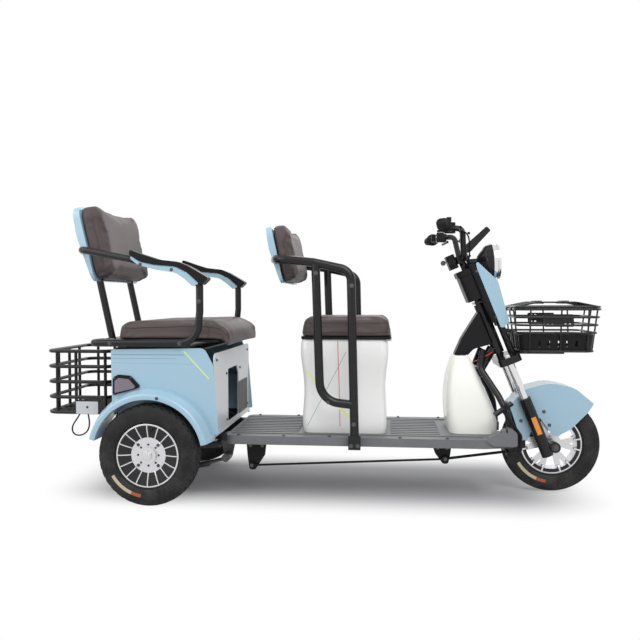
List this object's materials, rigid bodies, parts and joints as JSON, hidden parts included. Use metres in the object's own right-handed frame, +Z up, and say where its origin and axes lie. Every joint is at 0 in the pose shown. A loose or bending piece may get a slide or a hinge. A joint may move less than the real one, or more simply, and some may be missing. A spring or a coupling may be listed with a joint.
{
  "type": "electric tricycle",
  "caption": "Small electric tricycle with a low deck, driver's seat with hoops, rear bench over the driven wheels, front and rear wire baskets.",
  "frame": {"origin": "on the ground under the middle of the object's length and width", "axes": "+X forward towards the steered wheel, +Y to the rider's left, +Z up"},
  "size_m": [2.137, 0.7336, 1.1149],
  "materials": {
    "frame_black": "gloss black paint",
    "steel": "dark spring steel",
    "cover_black": "satin moulded plastic",
    "body_blue": "gloss pale blue",
    "panel_grey": "satin light grey",
    "shield_white": "gloss white",
    "deck_grey": "ribbed dark grey",
    "leather_brown": "dark brown grained",
    "lamp_smoke": "smoked lens",
    "lens_clear": "clear",
    "chrome": "polished",
    "amber": "amber reflector",
    "grip_rubber": "matt",
    "tyre_black": "road tread",
    "rim_silver": "machined"
  },
  "bodies": {
    "chassis": {"main_frame": "frame_black", "neck_guard": "frame_black", "hoop_brackets": "frame_black", "foot_brake": "frame_black", "brake_linkage": "frame_black", "bench_frame": "frame_black", "driver_frame": "frame_black", "rear_basket": "frame_black", "rear_axle": "frame_black", "rear_carrier": "frame_black", "leaf_springs": "steel", "neck_cover": "cover_black", "armrest_pads": "cover_black", "bench_base": "cover_black", "body_top": "cover_black", "body_rear": "cover_black", "tail_surrounds": "cover_black", "side_panel_right": "body_blue", "side_panel_left": "body_blue", "armrest_shells": "body_blue", "bench_back_shell": "body_blue", "driver_back_shell": "body_blue", "body_front": "panel_grey", "plate_bracket": "panel_grey", "leg_shield": "shield_white", "seat_box": "shield_white", "deck": "deck_grey", "bench_cushion": "leather_brown", "bench_back_pad": "leather_brown", "driver_back_pad": "leather_brown", "tail_lights": "lamp_smoke"},
    "driver_seat": {"driver_base": "cover_black", "driver_cushion": "leather_brown"},
    "steering": {"steering_stem": "frame_black", "fork_tubes": "chrome", "fork_legs": "frame_black", "front_fender": "body_blue", "basket_carrier": "frame_black", "handlebar": "frame_black", "grips": "grip_rubber", "bar_controls": "frame_black", "column_cover": "cover_black", "cowl": "body_blue", "headlight_bucket": "cover_black", "headlight_rim": "chrome", "headlight_lens": "lens_clear", "lamp_bracket": "cover_black", "bar_switches": "cover_black", "latch_lever": "frame_black", "reflectors": "amber", "front_basket": "frame_black", "basket_tub": "cover_black"},
    "basket_cover": {"basket_lid": "frame_black"},
    "front_wheel": {"front_tyre": "tyre_black", "front_rim": "rim_silver"},
    "rear_wheel_right": {"rear_tyre_right": "tyre_black", "rear_rim_right": "rim_silver"},
    "rear_wheel_left": {"rear_tyre_left": "tyre_black", "rear_rim_left": "rim_silver"}
  },
  "joints": [
    {"name": "steering_turn", "type": "hinge", "parent": "chassis", "child": "steering", "pos_m": [0.69025, 0, 0.534], "axis": [-0.3746, 0, 0.9272], "range_deg": [-38, 38]},
    {"name": "front_wheel_spin", "type": "hinge", "parent": "steering", "child": "front_wheel", "pos_m": [0.8845, 0, 0.184], "axis": [0, 1, 0], "continuous": true},
    {"name": "rear_wheel_right_spin", "type": "hinge", "parent": "chassis", "child": "rear_wheel_right", "pos_m": [-0.5955, -0.3275, 0.184], "axis": [0, 1, 0], "continuous": true},
    {"name": "rear_wheel_left_spin", "type": "hinge", "parent": "chassis", "child": "rear_wheel_left", "pos_m": [-0.5955, 0.3275, 0.184], "axis": [0, 1, 0], "continuous": true},
    {"name": "driver_seat_tip", "type": "hinge", "parent": "chassis", "child": "driver_seat", "pos_m": [0.2705, 0, 0.585], "axis": [0, 1, 0], "range_deg": [0, 75]},
    {"name": "basket_cover_open", "type": "hinge", "parent": "steering", "child": "basket_cover", "pos_m": [0.7305, 0, 0.703], "axis": [0, -1, 0], "range_deg": [0, 85]}
  ]
}
